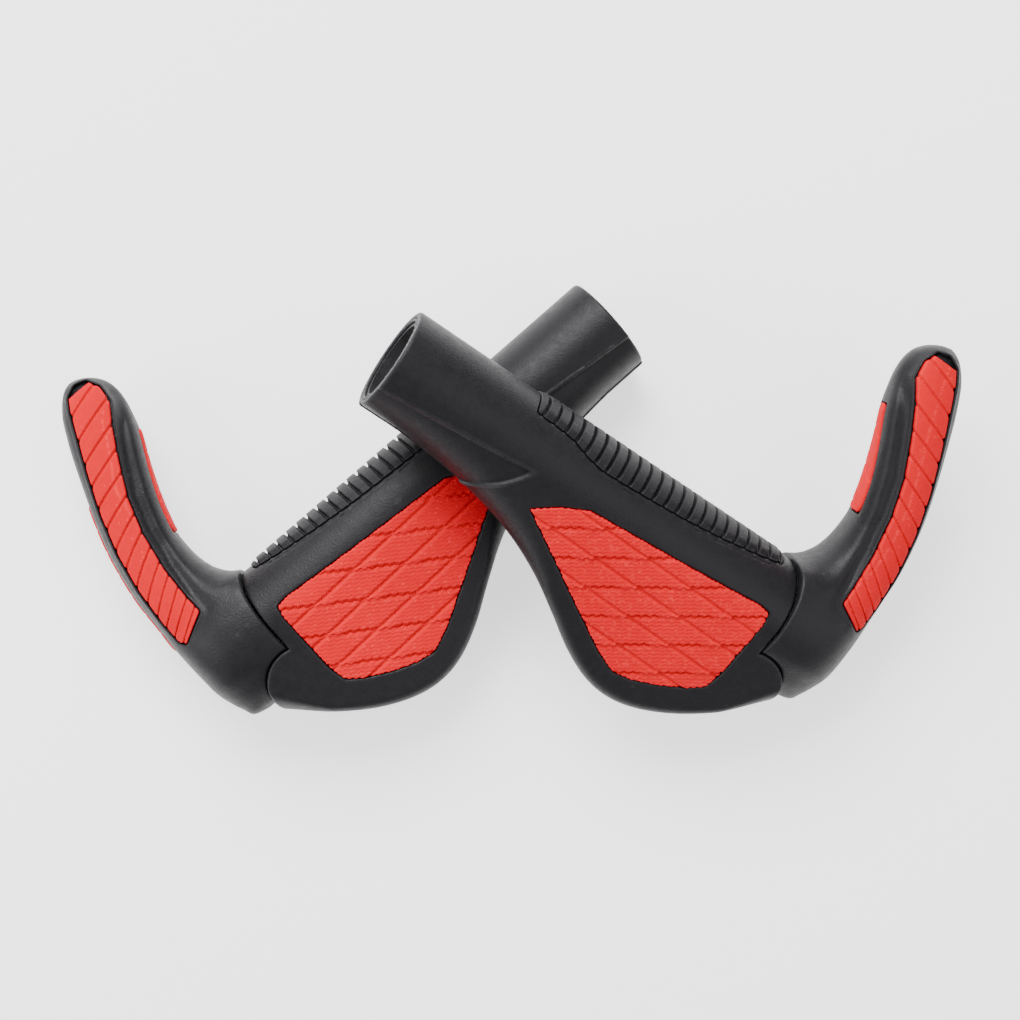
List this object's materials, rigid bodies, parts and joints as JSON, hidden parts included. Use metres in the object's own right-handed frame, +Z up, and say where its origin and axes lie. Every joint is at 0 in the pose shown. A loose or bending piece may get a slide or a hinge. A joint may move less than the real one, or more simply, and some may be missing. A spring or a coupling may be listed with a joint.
{
  "type": "pair of bar end grips",
  "caption": "Pair of ergonomic handlebar grips, black rubber with red palm pads and curved clamp-on horns, lying crossed palm side up.",
  "frame": {"origin": "centre of the pair's footprint on the surface it lies on", "axes": "+Z up, out of the surface; +X along the pair's longest side, from the left grip's horn to the right grip's horn; +Y from the wings towards the horn tips"},
  "size_m": [0.2632, 0.1272, 0.0728],
  "materials": {
    "black_rubber": "satin",
    "rib_rubber": "satin",
    "red_rubber": "matte",
    "grey_nylon": "matte",
    "bolt_steel": "satin"
  },
  "bodies": {
    "left_grip": {"left_inner_core": "grey_nylon", "left_grip_sleeve": "black_rubber", "left_palm_pad": "red_rubber", "left_rib_strip": "rib_rubber"},
    "left_horn": {"left_horn_core": "grey_nylon", "left_horn_cover": "black_rubber", "left_horn_top_inlay": "red_rubber", "left_horn_inner_inlay": "red_rubber", "left_horn_outer_inlay": "red_rubber", "left_clamp_nut": "bolt_steel"},
    "left_washer": {"left_clamp_washer": "bolt_steel"},
    "left_bolt": {"left_clamp_bolt": "bolt_steel"},
    "right_grip": {"right_inner_core": "grey_nylon", "right_grip_sleeve": "black_rubber", "right_palm_pad": "red_rubber", "right_rib_strip": "rib_rubber"},
    "right_horn": {"right_horn_core": "grey_nylon", "right_horn_cover": "black_rubber", "right_horn_top_inlay": "red_rubber", "right_horn_inner_inlay": "red_rubber", "right_horn_outer_inlay": "red_rubber", "right_clamp_nut": "bolt_steel"},
    "right_washer": {"right_clamp_washer": "bolt_steel"},
    "right_bolt": {"right_clamp_bolt": "bolt_steel"}
  },
  "joints": [
    {"name": "left_horn_slide", "type": "slide", "parent": "left_grip", "child": "left_horn", "axis": [-0.7497, -0.661, 0.0323], "range_m": [0, 0.03]},
    {"name": "left_washer_travel", "type": "slide", "parent": "left_horn", "child": "left_washer", "axis": [0.6613, -0.7501, 0.0009], "range_m": [0, 0.004]},
    {"name": "left_bolt_turn", "type": "hinge", "parent": "left_washer", "child": "left_bolt", "pos_m": [-0.07518, -0.04959, 0.00542], "axis": [0.6613, -0.7501, 0.0009], "range_deg": [0, 1800]},
    {"name": "pair_lift", "type": "slide", "parent": "left_grip", "child": "right_grip", "axis": [0, 0, 1], "range_m": [0, 0.1]},
    {"name": "right_horn_slide", "type": "slide", "parent": "right_grip", "child": "right_horn", "axis": [0.809, -0.5314, -0.2512], "range_m": [0, 0.03]},
    {"name": "right_washer_travel", "type": "slide", "parent": "right_horn", "child": "right_washer", "axis": [-0.5707, -0.8124, -0.1195], "range_m": [0, 0.004]},
    {"name": "right_bolt_turn", "type": "hinge", "parent": "right_washer", "child": "right_bolt", "pos_m": [0.08159, -0.04111, 0.00626], "axis": [-0.5707, -0.8124, -0.1195], "range_deg": [0, 1800]}
  ],
  "couplings": [
    {"joint": "left_bolt_turn", "follows": "left_washer_travel", "rad_per_m": 7853.9},
    {"joint": "right_bolt_turn", "follows": "right_washer_travel", "rad_per_m": 7853.9}
  ]
}
